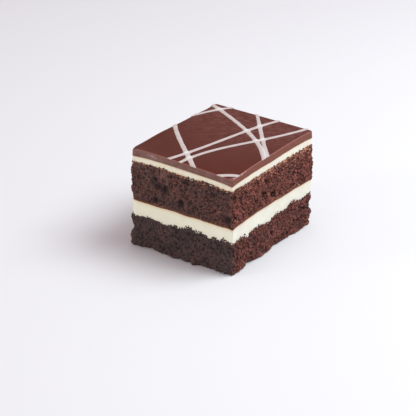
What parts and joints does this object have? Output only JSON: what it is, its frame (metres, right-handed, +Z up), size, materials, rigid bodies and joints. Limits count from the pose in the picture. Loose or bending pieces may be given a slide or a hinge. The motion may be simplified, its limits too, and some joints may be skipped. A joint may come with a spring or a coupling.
{
  "type": "chocolate layer cake",
  "caption": "Rectangular cut of chocolate cake: two dark sponge layers with a cream filling, a thin cream coat, and a chocolate glaze with fine crossing pale lines on top.",
  "frame": {"origin": "middle of the base, on the surface that the cake stands on", "axes": "+Z up through the layers, +Y along the cake's longer side, +X along its shorter side; the picture's front corner is at +X, -Y"},
  "size_m": [0.0684, 0.0778, 0.0575],
  "materials": {
    "sponge": "open chocolate crumb, rough and matte",
    "cream": "smooth cut cream, soft satin",
    "glaze": "set milk-chocolate glaze, satin",
    "piping": "set pale chocolate, satin"
  },
  "bodies": {
    "root": {"lower_sponge": "sponge", "cream_filling": "cream", "upper_sponge": "sponge", "cream_coat": "cream", "chocolate_glaze": "glaze"}
  },
  "joints": []
}
